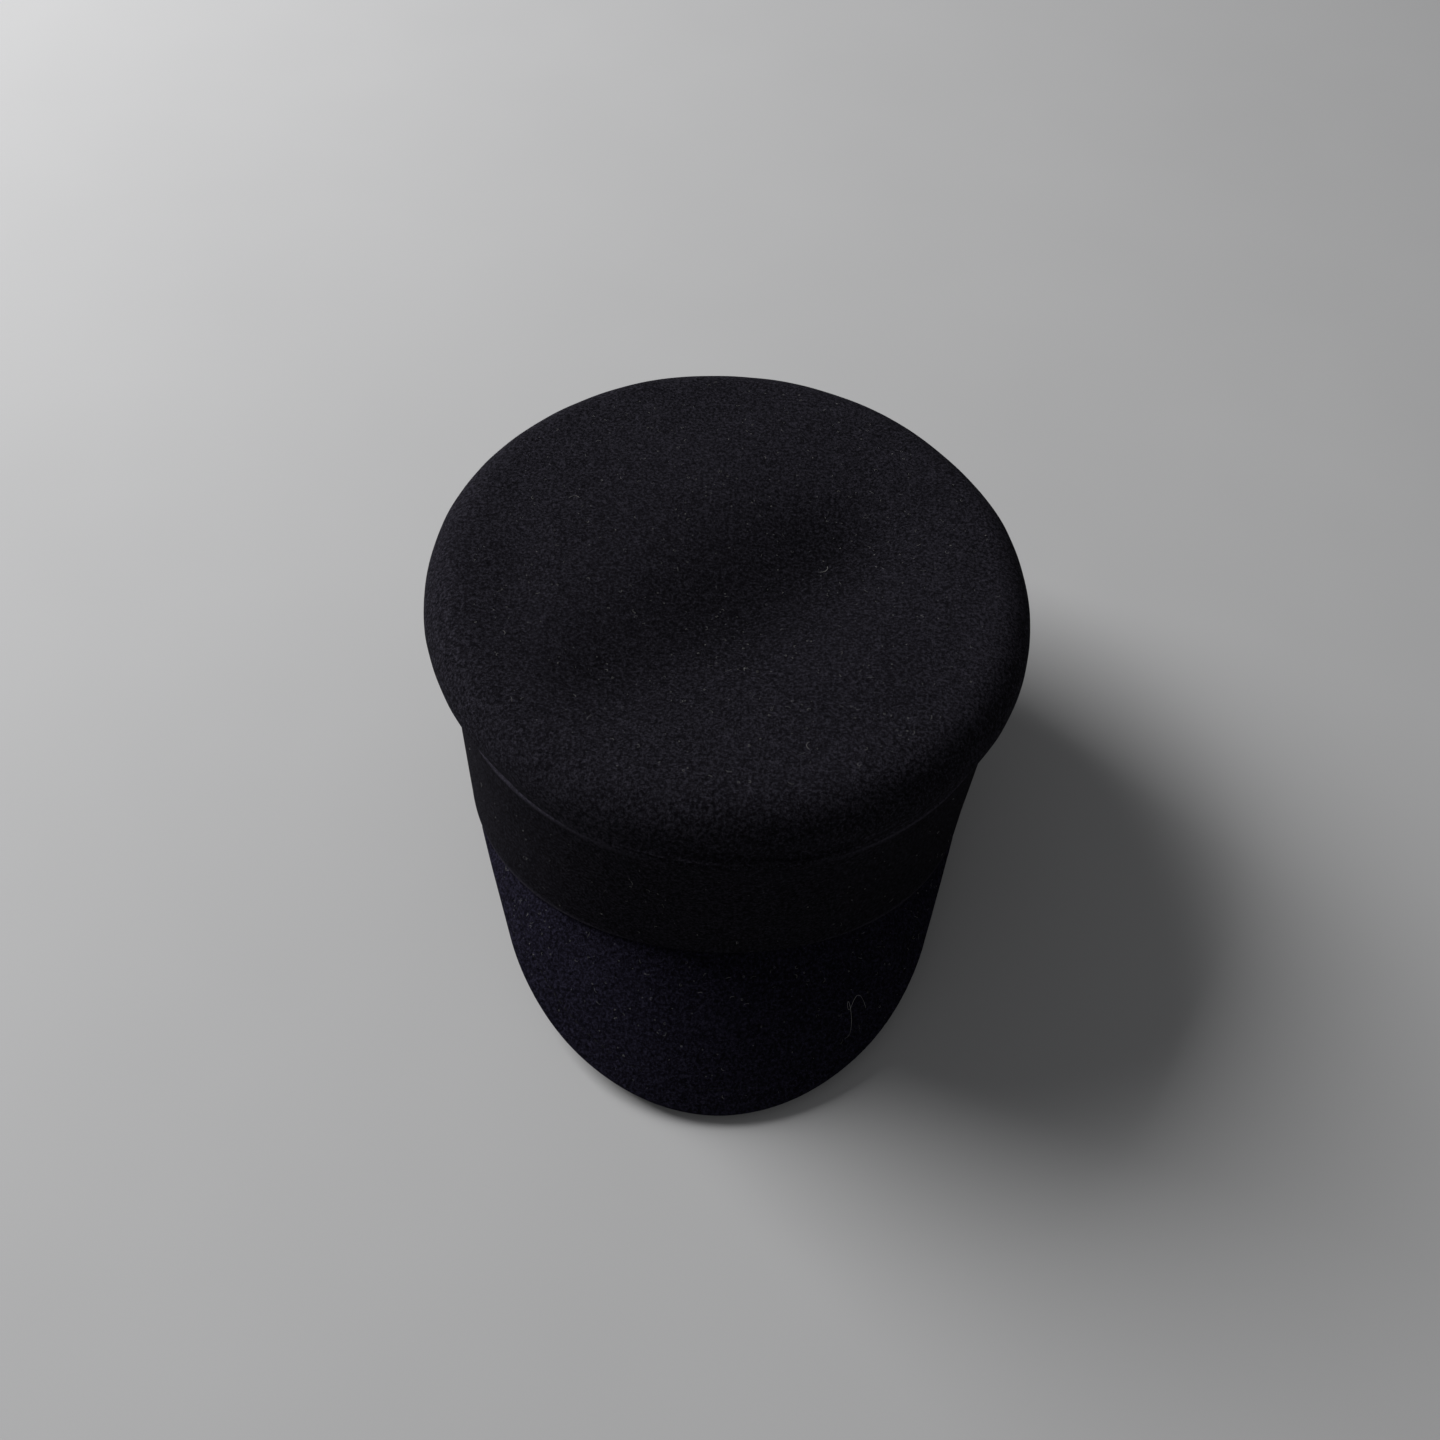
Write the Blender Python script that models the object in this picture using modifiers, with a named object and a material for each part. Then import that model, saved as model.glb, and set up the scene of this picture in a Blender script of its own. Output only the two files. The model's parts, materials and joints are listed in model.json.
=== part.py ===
"""Peaked felt cap: a blocked crown with an overhanging lip, a felt band, a steep visor and a lined inside.

Sizes are in metres. The cap is modelled upright in its head frame: the band's lower edge lies in the
plane z = 0, except at the front, where it arches up over the visor, and -Y is the wearer's front. An
angle round the head is 0 at the front and grows towards +X. An empty then tips the whole cap onto the
two places it rests on, the visor's tip and the back of the band.
"""

import math

import bmesh
import bpy
from mathutils import Matrix, Vector

# Head opening: the band's lower edge, an ellipse that arches up over the forehead.
BASE_HALF_WIDTH = 0.0910
BASE_HALF_LENGTH = 0.1000
FRONT_RISE = 0.0200

# Crease: the band's top edge, where the crown comes out of the band.
CREASE_HALF_WIDTH = 0.0911
CREASE_HALF_LENGTH = 0.1050
CREASE_CENTRE_Y = -0.0020
CREASE_HEIGHT = 0.0668
CREASE_SLOPE = -0.093  # height gained for each metre towards +Y

# Lip: the widest line of the crown, and the roll over it onto the top.
LIP_HALF_WIDTH = 0.0988
LIP_HALF_LENGTH = 0.1070
LIP_CENTRE_Y = 0.0022
LIP_HEIGHT = 0.0808
LIP_ROLL = 0.0132
DISH_DEPTH = 0.0035

# Visor: its root follows the band's edge, and its free edge is a superellipse that drops to the front.
VISOR_ROOT_ANGLE = math.radians(54.0)
VISOR_REACH = 0.0757
VISOR_DROP = 0.0310
VISOR_PLAN_POWER = 1.05
VISOR_DROP_POWER = 0.88
VISOR_END = math.radians(86.0)  # where the free edge's own parameter stops, short of a sharp corner
VISOR_CROWNING = 0.0025
VISOR_FLANGE = 0.0090
VISOR_HEM = 0.0085

# Cloth and felt, from the outside in.
GAP = 0.0003
BAND_THICKNESS = 0.0018
CROWN_THICKNESS = 0.0018
LINING_THICKNESS = 0.0004
SWEATBAND_THICKNESS = 0.0007
VISOR_TOP_THICKNESS = 0.0018
BOARD_THICKNESS = 0.0010
VISOR_UNDER_THICKNESS = 0.0016
TAB_THICKNESS = 0.0005
THREAD_RADIUS = 0.0002
WIRE_RADIUS = 0.0005

# How far each layer's outer face lies inside the band's outer face.
NECK_INSET = BAND_THICKNESS + GAP
LINING_INSET = NECK_INSET + CROWN_THICKNESS + GAP
SWEATBAND_INSET = LINING_INSET + LINING_THICKNESS + GAP
TAB_INSET = SWEATBAND_INSET + SWEATBAND_THICKNESS + GAP
# How far each of the visor's layers lies under its top face.
BOARD_DEPTH = VISOR_TOP_THICKNESS + GAP
UNDER_DEPTH = BOARD_DEPTH + BOARD_THICKNESS + GAP
VISOR_DEPTH = UNDER_DEPTH + VISOR_UNDER_THICKNESS

# Heights above the band's lower edge.
BAND_HEM = 0.0030
NECK_BOTTOM_BACK = 0.0020
NECK_BOTTOM_FRONT = VISOR_FLANGE + 0.0010
SWEATBAND_BOTTOM = 0.0010
SWEATBAND_TOP = 0.0270
SWEATBAND_SEAM = 0.0035
LINING_BOTTOM = 0.0200
# Heights in the head frame.
LINING_TOP = 0.0720
LINING_DOME = 0.0075

# Labels.
CARE_LABEL_WIDTH = 0.0220
CARE_LABEL_LENGTH = 0.0340
CARE_LABEL_ANGLE = math.radians(-125.0)
CARE_LABEL_INSET = 0.0078
CARE_LABEL_TOP = 0.0680
LINING_LABEL_WIDTH = 0.0500
LINING_LABEL_LENGTH = 0.0300
LABEL_THICKNESS = 0.0005

BACK = math.pi
BUTT_GAP = 0.0004  # between the two ends of a strip that meet at the back
SEGMENTS = 64
VISOR_SEGMENTS = 28
MERGE_DISTANCE = 0.00001


def blend(low, high, share):
    """Straight mix of two numbers or vectors."""
    return low + (high - low) * share


def smooth_step(low, high, value):
    """0 below low, 1 above high, and an S-curve between."""
    share = min(1.0, max(0.0, (value - low) / (high - low)))
    return share * share * (3.0 - 2.0 * share)


def oval(half_width, half_length, centre_y, angle):
    """A point in plan on an ellipse, at an angle round the head."""
    return Vector((half_width * math.sin(angle), centre_y - half_length * math.cos(angle)))


def rim_height(angle):
    """Height of the band's lower edge."""
    return FRONT_RISE * max(0.0, math.cos(angle)) ** 2


def crease_plan(angle, inset=0.0):
    return oval(CREASE_HALF_WIDTH - inset, CREASE_HALF_LENGTH - inset, CREASE_CENTRE_Y, angle)


def crease_height(angle):
    return CREASE_HEIGHT + CREASE_SLOPE * crease_plan(angle).y


def wall_point(angle, height, inset):
    """A point on the side wall, at a height above the band's lower edge and inset from its outer face.

    The wall stands upright for its lowest few millimetres, then leans out to the crease.
    """
    rise = crease_height(angle) - rim_height(angle)
    share = min(1.0, max(0.0, (height - BAND_HEM) / (rise - BAND_HEM)))
    low = oval(BASE_HALF_WIDTH - inset, BASE_HALF_LENGTH - inset, 0.0, angle)
    plan = blend(low, crease_plan(angle, inset), share)
    return Vector((plan.x, plan.y, rim_height(angle) + height))


def crown_flare_point(angle, share):
    """From the neck's top (0) out under the lip to its widest line (1)."""
    turn = share * math.pi / 2
    neck = crease_plan(angle, NECK_INSET)
    lip = oval(LIP_HALF_WIDTH, LIP_HALF_LENGTH, LIP_CENTRE_Y, angle)
    plan = blend(neck, lip, math.sin(turn))
    start = crease_height(angle) + GAP
    return Vector((plan.x, plan.y, blend(start, LIP_HEIGHT, 1.0 - math.cos(turn))))


def crown_roll_point(angle, share):
    """From the widest line (0) over the roll to the edge of the flat top (1)."""
    turn = share * math.pi / 2
    drawn_in = LIP_ROLL * (1.0 - math.cos(turn))
    plan = oval(LIP_HALF_WIDTH - drawn_in, LIP_HALF_LENGTH - drawn_in, LIP_CENTRE_Y, angle)
    return Vector((plan.x, plan.y, LIP_HEIGHT + LIP_ROLL * math.sin(turn)))


def crown_top_point(angle, share):
    """On the dished top: 1 at its edge, 0 at its centre."""
    plan = oval(
        (LIP_HALF_WIDTH - LIP_ROLL) * share,
        (LIP_HALF_LENGTH - LIP_ROLL) * share,
        LIP_CENTRE_Y,
        angle,
    )
    return Vector((plan.x, plan.y, LIP_HEIGHT + LIP_ROLL - DISH_DEPTH * (1.0 - share**2) ** 2))


def visor_root(side):
    """The visor's root in the band's edge; side runs from -1 to 1 across the visor."""
    return wall_point(side * VISOR_ROOT_ANGLE, 0.0, NECK_INSET)


def visor_edge(side):
    """The visor's free edge."""
    start = wall_point(VISOR_ROOT_ANGLE, 0.0, 0.0)
    turn = side * VISOR_END
    return Vector(
        (
            math.copysign(start.x * abs(math.sin(turn)) ** VISOR_PLAN_POWER, side),
            start.y - VISOR_REACH * math.cos(turn) ** VISOR_PLAN_POWER,
            start.z - VISOR_DROP * math.cos(turn) ** VISOR_DROP_POWER,
        )
    )


def visor_face(side, out):
    """On the visor's top face: out is 0 at the root and 1 at the free edge."""
    point = blend(visor_root(side), visor_edge(side), out)
    point.z += VISOR_CROWNING * 4.0 * out * (1.0 - out) * math.cos(side * math.pi / 2)
    return point


def visor_point(side, out, depth):
    """A point at a depth under the visor's top face."""
    step = 0.01
    across = visor_face(side + step, out) - visor_face(side - step, out)
    along = visor_face(side, out) - visor_face(side, out - step)
    return visor_face(side, out) + across.cross(along).normalized() * depth


def visor_inside_edge(side, distance):
    """How far out a line lies that runs a distance inside the free edge."""
    length = (visor_edge(side) - visor_root(side)).length
    return 1.0 - distance / length


def steps(first, last, count):
    """count + 1 evenly spaced values."""
    return [blend(first, last, i / count) for i in range(count + 1)]


def ring_angles():
    """All the way round, without repeating the first angle."""
    return steps(-math.pi, math.pi, SEGMENTS)[:-1]


def strip_angles():
    """Nearly all the way round, from one side of a butt joint at the back to the other."""
    reach = math.pi - BUTT_GAP / 2 / BASE_HALF_WIDTH
    return steps(-reach, reach, SEGMENTS)


def felt_material(name, colour, roughness):
    """A matt cloth material."""
    material = bpy.data.materials.new(name)
    material.use_nodes = True
    shader = material.node_tree.nodes["Principled BSDF"]
    shader.inputs["Base Color"].default_value = (*colour, 1.0)
    shader.inputs["Roughness"].default_value = roughness
    shader.inputs["Metallic"].default_value = 0.0
    material.diffuse_color = (*colour, 1.0)
    return material


def wire_material(name):
    """Bright steel wire."""
    material = felt_material(name, (0.45, 0.45, 0.46), 0.35)
    material.node_tree.nodes["Principled BSDF"].inputs["Metallic"].default_value = 1.0
    return material


def add_object(name, data, material, collection, cap):
    """Puts a mesh or curve in the cap's collection, under its empty."""
    data.materials.append(material)
    item = bpy.data.objects.new(name, data)
    item.parent = cap
    collection.objects.link(item)
    return item


def add_sheet(name, rows, closed, thickness, material, collection, cap):
    """A shell: rows of points from its lowest line to its highest, thickened inwards."""
    mesh = bpy.data.meshes.new(name)
    sheet = bmesh.new()
    grid = [[sheet.verts.new(point) for point in row] for row in rows]
    count = len(rows[0])
    spans = count if closed else count - 1
    for low, high in zip(grid, grid[1:]):
        for i in range(spans):
            after = (i + 1) % count
            sheet.faces.new((low[i], low[after], high[after], high[i]))
    bmesh.ops.remove_doubles(sheet, verts=sheet.verts, dist=MERGE_DISTANCE)
    sheet.to_mesh(mesh)
    sheet.free()
    mesh.shade_smooth()
    item = add_object(name, mesh, material, collection, cap)
    shell = item.modifiers.new("thickness", "SOLIDIFY")
    shell.thickness = thickness
    shell.offset = -1.0
    shell.use_even_offset = True
    return item


def add_line(name, points, radius, closed, material, collection, cap):
    """A wire or a line of thread: a round tube along the points."""
    curve = bpy.data.curves.new(name, "CURVE")
    curve.dimensions = "3D"
    curve.bevel_depth = radius
    curve.bevel_resolution = 1
    curve.use_fill_caps = not closed
    spline = curve.splines.new("POLY")
    spline.points.add(len(points) - 1)
    for target, point in zip(spline.points, points):
        target.co = (*point, 1.0)
    spline.use_cyclic_u = closed
    return add_object(name, curve, material, collection, cap)


def add_label(name, size, centre, material, collection, cap):
    """A thin rectangular label, whose origin may lie away from its middle."""
    mesh = bpy.data.meshes.new(name)
    block = bmesh.new()
    shape = Matrix.Translation(centre) @ Matrix.Diagonal((*size, 1.0))
    bmesh.ops.create_cube(block, size=1.0, matrix=shape)
    block.to_mesh(mesh)
    block.free()
    return add_object(name, mesh, material, collection, cap)


def add_crown(material, collection, cap):
    """Blocked felt: the neck inside the band, the flare under the lip, the roll and the dished top."""
    angles = ring_angles()

    def neck_bottom(angle):
        away = smooth_step(math.radians(60.0), math.radians(78.0), abs(angle))
        return blend(NECK_BOTTOM_FRONT, NECK_BOTTOM_BACK, away)

    def neck_row(share):
        return [
            wall_point(
                angle,
                blend(neck_bottom(angle), crease_height(angle) + GAP - rim_height(angle), share),
                NECK_INSET,
            )
            for angle in angles
        ]

    rows = [neck_row(share) for share in steps(0.0, 1.0, 4)]
    rows += [[crown_flare_point(angle, share) for angle in angles] for share in steps(0.0, 1.0, 4)[1:]]
    rows += [[crown_roll_point(angle, share) for angle in angles] for share in steps(0.0, 1.0, 4)[1:]]
    rows += [[crown_top_point(angle, share) for angle in angles] for share in steps(1.0, 0.0, 4)[1:]]
    return add_sheet("crown", rows, True, CROWN_THICKNESS, material, collection, cap)


def add_side_band(material, collection, cap):
    """The felt strip round the crown, with its two ends butted at the back."""
    angles = strip_angles()

    def row(share):
        return [
            wall_point(angle, blend(BAND_HEM, crease_height(angle) - rim_height(angle), share), 0.0)
            for angle in angles
        ]

    rows = [[wall_point(angle, 0.0, 0.0) for angle in angles]]
    rows += [row(share) for share in steps(0.0, 1.0, 3)]
    return add_sheet("side_band", rows, False, BAND_THICKNESS, material, collection, cap)


def add_band_seam(material, collection, cap):
    """The thread that closes the band's butt joint, outside it."""
    outside = -(THREAD_RADIUS + GAP)
    top = crease_height(BACK) - BAND_HEM
    points = [wall_point(BACK, height, outside) for height in steps(BAND_HEM, top, 8)]
    return add_line("band_seam_thread", points, THREAD_RADIUS, False, material, collection, cap)


def add_visor_top(material, collection, cap):
    """The visor's upper felt, with the flange that is sewn in behind the band."""
    sides = steps(-1.0, 1.0, VISOR_SEGMENTS)
    rows = [[visor_point(side, out, 0.0) for side in sides] for out in steps(1.0, 0.0, 6)[:-1]]
    rows += [
        [wall_point(side * VISOR_ROOT_ANGLE, height, NECK_INSET) for side in sides]
        for height in steps(0.0, VISOR_FLANGE, 2)
    ]
    return add_sheet("visor_top_felt", rows, False, VISOR_TOP_THICKNESS, material, collection, cap)


def add_visor_board(material, collection, cap):
    """The stiff board inside the visor, which stops at the hem."""
    reach = 0.80
    root_out = 0.08
    sides = steps(-reach, reach, VISOR_SEGMENTS - 4)
    rows = [
        [
            visor_point(side, blend(visor_inside_edge(side, VISOR_HEM), root_out, share), BOARD_DEPTH)
            for side in sides
        ]
        for share in steps(0.0, 1.0, 4)
    ]
    return add_sheet("visor_board", rows, False, BOARD_THICKNESS, material, collection, cap)


def add_visor_under(material, collection, cap):
    """The visor's lower felt."""
    sides = steps(-1.0, 1.0, VISOR_SEGMENTS)
    root_out = 0.02
    rows = [[visor_point(side, out, UNDER_DEPTH) for side in sides] for out in steps(1.0, root_out, 5)]
    return add_sheet("visor_under_felt", rows, False, VISOR_UNDER_THICKNESS, material, collection, cap)


def add_visor_wire(material, collection, cap):
    """The spring wire that holds the free edge's curve, between the two felts."""
    reach = 0.90
    from_edge = 0.0025
    depth = (VISOR_TOP_THICKNESS + UNDER_DEPTH) / 2
    points = [
        visor_point(side, visor_inside_edge(side, from_edge), depth)
        for side in steps(-reach, reach, VISOR_SEGMENTS)
    ]
    return add_line("visor_edge_wire", points, WIRE_RADIUS, False, material, collection, cap)


def add_visor_thread(material, collection, cap):
    """The line of stitching that holds the visor's hem, on its top face."""
    reach = 0.80
    points = [
        visor_point(side, visor_inside_edge(side, VISOR_HEM), -(THREAD_RADIUS + GAP))
        for side in steps(-reach, reach, VISOR_SEGMENTS)
    ]
    return add_line("visor_hem_thread", points, THREAD_RADIUS, False, material, collection, cap)


def add_sweatband(material, collection, cap):
    """The ribbon that touches the head, butted at the back."""
    rows = [
        [wall_point(angle, height, SWEATBAND_INSET) for angle in strip_angles()]
        for height in (SWEATBAND_BOTTOM, BAND_HEM, SWEATBAND_TOP)
    ]
    return add_sheet("sweatband", rows, False, SWEATBAND_THICKNESS, material, collection, cap)


def add_sweatband_tab(material, collection, cap):
    """The short piece of ribbon over the sweatband's joint."""
    half_angle = math.radians(3.0)
    rows = [
        [wall_point(angle, height, TAB_INSET) for angle in steps(BACK - half_angle, BACK + half_angle, 2)]
        for height in (BAND_HEM, (BAND_HEM + SWEATBAND_TOP) / 2, SWEATBAND_TOP)
    ]
    return add_sheet("sweatband_tab", rows, False, TAB_THICKNESS, material, collection, cap)


def add_sweatband_thread(material, collection, cap):
    """The line of stitching along the sweatband's lower edge, broken at the tab."""
    inset = SWEATBAND_INSET + SWEATBAND_THICKNESS + GAP + THREAD_RADIUS
    reach = math.pi - math.radians(5.0)
    points = [wall_point(angle, SWEATBAND_SEAM, inset) for angle in steps(-reach, reach, SEGMENTS)]
    return add_line("sweatband_thread", points, THREAD_RADIUS, False, material, collection, cap)


def add_lining_side(material, collection, cap):
    """The satin round the inside, from behind the sweatband up to the tip's seam."""

    def point(angle, share):
        height = blend(LINING_BOTTOM, LINING_TOP - rim_height(angle), share)
        return wall_point(angle, height, LINING_INSET)

    rows = [[point(angle, share) for angle in ring_angles()] for share in steps(0.0, 1.0, 3)]
    return add_sheet("lining_side", rows, True, LINING_THICKNESS, material, collection, cap)


def lining_tip_point(angle, share):
    """On the lining's domed tip: 1 at its seam, 0 at its centre."""
    edge = wall_point(angle, LINING_TOP - rim_height(angle), LINING_INSET + LINING_THICKNESS + GAP)
    centre = Vector((0.0, CREASE_CENTRE_Y, edge.z))
    point = blend(centre, edge, share)
    point.z += LINING_DOME * (1.0 - share**2)
    return point


def add_lining_tip(material, collection, cap):
    """The satin oval that closes the top of the lining."""
    rows = [[lining_tip_point(angle, share) for angle in ring_angles()] for share in steps(1.0, 0.0, 4)]
    return add_sheet("lining_tip", rows, True, LINING_THICKNESS, material, collection, cap)


def add_lining_label(material, collection, cap):
    """The blank label sewn to the lining's tip."""
    corner = Vector((LINING_LABEL_WIDTH / 2, LINING_LABEL_LENGTH / 2)).length
    share = corner / (BASE_HALF_WIDTH - LINING_INSET)
    top = lining_tip_point(0.0, share).z - LINING_THICKNESS - 2 * GAP
    size = (LINING_LABEL_WIDTH, LINING_LABEL_LENGTH, LABEL_THICKNESS)
    label = add_label("lining_label", size, (0.0, 0.0, -LABEL_THICKNESS / 2), material, collection, cap)
    label.location = (0.0, CREASE_CENTRE_Y, top)
    return label


def add_care_label(material, collection, cap):
    """The care label that hangs from the tip's seam, with its origin on its sewn top edge."""
    size = (CARE_LABEL_WIDTH, LABEL_THICKNESS, CARE_LABEL_LENGTH)
    centre = (0.0, 0.0, -CARE_LABEL_LENGTH / 2)
    label = add_label("care_label", size, centre, material, collection, cap)
    height = CARE_LABEL_TOP - rim_height(CARE_LABEL_ANGLE)
    label.location = wall_point(CARE_LABEL_ANGLE, height, CARE_LABEL_INSET)
    plan = crease_plan(CARE_LABEL_ANGLE)
    outward = Vector((plan.x / CREASE_HALF_WIDTH**2, (plan.y - CREASE_CENTRE_Y) / CREASE_HALF_LENGTH**2))
    label.rotation_euler.z = math.atan2(outward.y, outward.x) - math.pi / 2
    return label


def rest_tilt():
    """The tip forward that brings the visor's lowest point level with the back of the band."""
    tip = visor_point(0.0, 1.0, VISOR_DEPTH)
    heel = wall_point(BACK, 0.0, 0.0)
    return math.atan2(heel.z - tip.z, heel.y - tip.y)


def rest_on_floor(cap, parts):
    """Tips the cap, then puts the middle of its box over the origin and its lowest point on z = 0."""
    cap.rotation_euler.x = -rest_tilt()
    bpy.context.view_layer.update()
    depsgraph = bpy.context.evaluated_depsgraph_get()
    corners = []
    for part in parts:
        solid = part.evaluated_get(depsgraph)
        mesh = solid.to_mesh()
        corners += [solid.matrix_world @ vertex.co for vertex in mesh.vertices]
        solid.to_mesh_clear()
    for axis in (0, 1):
        values = [corner[axis] for corner in corners]
        cap.location[axis] = -(min(values) + max(values)) / 2
    cap.location.z = -min(corner.z for corner in corners)


def main():
    for item in list(bpy.data.objects):
        bpy.data.objects.remove(item, do_unlink=True)
    collection = bpy.data.collections.new("peaked_felt_cap")
    bpy.context.scene.collection.children.link(collection)
    cap = bpy.data.objects.new("cap_frame", None)
    collection.objects.link(cap)

    felt = felt_material("black_felt", (0.011, 0.011, 0.014), 0.95)
    visor_felt = felt_material("visor_felt", (0.007, 0.007, 0.010), 0.95)
    board = felt_material("board", (0.25, 0.22, 0.18), 0.8)
    ribbon = felt_material("grosgrain", (0.014, 0.014, 0.016), 0.7)
    satin = felt_material("satin", (0.02, 0.02, 0.023), 0.35)
    label = felt_material("label", (0.6, 0.6, 0.58), 0.6)
    thread = felt_material("thread", (0.015, 0.015, 0.018), 0.6)

    parts = [
        add_crown(felt, collection, cap),
        add_side_band(felt, collection, cap),
        add_band_seam(thread, collection, cap),
        add_visor_top(visor_felt, collection, cap),
        add_visor_board(board, collection, cap),
        add_visor_under(visor_felt, collection, cap),
        add_visor_wire(wire_material("spring_wire"), collection, cap),
        add_visor_thread(thread, collection, cap),
        add_sweatband(ribbon, collection, cap),
        add_sweatband_tab(ribbon, collection, cap),
        add_sweatband_thread(thread, collection, cap),
        add_lining_side(satin, collection, cap),
        add_lining_tip(satin, collection, cap),
        add_lining_label(label, collection, cap),
        add_care_label(label, collection, cap),
    ]
    rest_on_floor(cap, parts)


main()
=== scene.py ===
"""Looks of the peaked felt cap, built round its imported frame.

Every mesh is made in metres in the row frame. Shapes are first worked out in the cap's upright head
frame, where the band's lower edge lies in z = 0 behind the ears and -Y is the front. HEAD then
carries them to the row frame, in which the cap leans on its visor's tip and the back of its band.
An angle round the head is 0 at the front and grows towards +X.
"""

import json
import math
from math import pi, radians

import bpy
import numpy as np
from mathutils import Matrix, Vector, noise


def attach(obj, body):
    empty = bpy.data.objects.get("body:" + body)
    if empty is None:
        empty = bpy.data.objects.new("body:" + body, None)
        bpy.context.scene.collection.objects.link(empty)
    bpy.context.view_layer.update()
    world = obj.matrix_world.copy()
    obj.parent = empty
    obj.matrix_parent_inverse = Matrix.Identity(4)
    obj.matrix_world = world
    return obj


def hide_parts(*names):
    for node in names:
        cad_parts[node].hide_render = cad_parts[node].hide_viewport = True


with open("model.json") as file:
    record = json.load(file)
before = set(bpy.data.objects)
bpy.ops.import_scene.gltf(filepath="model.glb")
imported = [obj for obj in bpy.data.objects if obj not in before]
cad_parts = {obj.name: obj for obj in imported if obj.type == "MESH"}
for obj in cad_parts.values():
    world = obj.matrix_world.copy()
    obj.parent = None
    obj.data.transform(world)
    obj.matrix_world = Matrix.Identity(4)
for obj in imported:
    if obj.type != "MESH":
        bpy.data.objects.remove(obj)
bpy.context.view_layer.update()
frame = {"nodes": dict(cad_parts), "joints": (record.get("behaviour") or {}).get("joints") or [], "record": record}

# The head opening, the crease and the lip, as the frame has them.
BASE_HALF_WIDTH = 0.0910
BASE_HALF_LENGTH = 0.1000
FRONT_RISE = 0.0200
CREASE_HALF_WIDTH = 0.0911
CREASE_HALF_LENGTH = 0.1050
CREASE_CENTRE_Y = -0.0020
CREASE_HEIGHT = 0.0668
CREASE_SLOPE = -0.093
LIP_HALF_WIDTH = 0.0988
LIP_HALF_LENGTH = 0.1070
LIP_CENTRE_Y = 0.0022
LIP_HEIGHT = 0.0808
LIP_ROLL = 0.0132

# The visor: its curved edge starts at the root angle, its straight ends run on to the tip angle.
VISOR_ROOT_ANGLE = radians(54.0)
VISOR_REACH = 0.0757
VISOR_DROP = 0.0310
VISOR_PLAN_POWER = 1.05
VISOR_DROP_POWER = 0.88
VISOR_CURVE_END = radians(70.0)
VISOR_CURVE_SHARE = 0.68
VISOR_TIP_ANGLE = radians(66.0)
VISOR_CROWNING = 0.0025
VISOR_FLANGE = 0.0090
VISOR_HEM = 0.0085

# Layers, from the outside in.
GAP = 0.0003
BAND_THICKNESS = 0.0018
CROWN_THICKNESS = 0.0018
LINING_THICKNESS = 0.0004
SWEATBAND_THICKNESS = 0.0007
VISOR_TOP_THICKNESS = 0.0018
VISOR_UNDER_THICKNESS = 0.0016
TAB_THICKNESS = 0.0005
NECK_INSET = BAND_THICKNESS + GAP
LINING_INSET = NECK_INSET + CROWN_THICKNESS + GAP
SWEATBAND_INSET = LINING_INSET + LINING_THICKNESS + GAP
TAB_INSET = SWEATBAND_INSET + SWEATBAND_THICKNESS + GAP
UNDER_DEPTH = 0.0034

# Heights: above the band's lower edge, and for the lining's top in the head frame.
BAND_HEM = 0.0030
NECK_BOTTOM_BACK = 0.0020
NECK_BOTTOM_FRONT = VISOR_FLANGE + 0.0010
SWEATBAND_BOTTOM = 0.0010
SWEATBAND_TOP = 0.0270
SWEATBAND_SEAM = 0.0035
LINING_BOTTOM = 0.0200
LINING_TOP = 0.0720
LINING_DOME = 0.0068

THREAD_RADIUS = 0.00022
BACK = pi
BUTT_GAP = 0.0004
BUTT_REACH = pi - BUTT_GAP / 2 / BASE_HALF_WIDTH
RIM_STEPS = 4

# The lining's label and satin tip: how far the tip is tacked beyond the label, the share of its
# radius that hangs level, and how many frames it sags for.
LABEL_WIDTH = 0.0500
LABEL_LENGTH = 0.0300
LABEL_TACK = 0.0035
LABEL_DROP = 0.00075
TIP_LEVEL_SHARE = 0.336
DRAPE_FRAMES = 24

# Looks: the felt's tones as multiples of its colour, and Wave node scales of ribs and weave.
FELT_TONES = (0.15, 1.9, 7.0, 12.0)
RIB_SCALE = 144.685974
WEAVE_SCALE = 318.309141

# The camera, round a point above the middle of the head opening.
CAMERA_PIVOT = Vector((0.0, 0.0, 0.050))
CAMERA_ELEVATION = radians(49.58)
CAMERA_SWING = radians(3.30)
CAMERA_ROLL = radians(4.0)
CAMERA_DISTANCE = 0.4703
CAMERA_RISE = 0.0222
CAMERA_LENS = 34.0
CAMERA_SENSOR = 36.0


# ---- numbers and points

def blend(low, high, share):
    """low at share 0, high at share 1."""
    return low + (high - low) * share


def smooth(low, high, value):
    """0 below low, 1 above high, an S-curve between."""
    share = np.clip((np.asarray(value, float) - low) / (high - low), 0.0, 1.0)
    return share * share * (3.0 - 2.0 * share)


def hump(value, centre, width):
    """A Gaussian hump of height 1."""
    return np.exp(-(((value - centre) / width) ** 2))


def points(x, y, z):
    """Stacks coordinates of any matching shapes into points."""
    return np.stack(np.broadcast_arrays(x, y, z), axis=-1).astype(float)


def waves(at, size, seed=0.0):
    """Smooth noise from -1 to 1 at points, with features of about that size in metres."""
    flat = at.reshape(-1, 3) / size + seed
    return np.array([noise.noise(p) for p in flat]).reshape(at.shape[:-1])


def oval(half_width, half_length, centre_y, angle):
    """Plan of an oval round the head at an angle."""
    return half_width * np.sin(angle), centre_y - half_length * np.cos(angle)


def crease_plan(angle, inset):
    """Plan of the crease, inset from its outer face."""
    return oval(CREASE_HALF_WIDTH - inset, CREASE_HALF_LENGTH - inset, CREASE_CENTRE_Y, angle)


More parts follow.
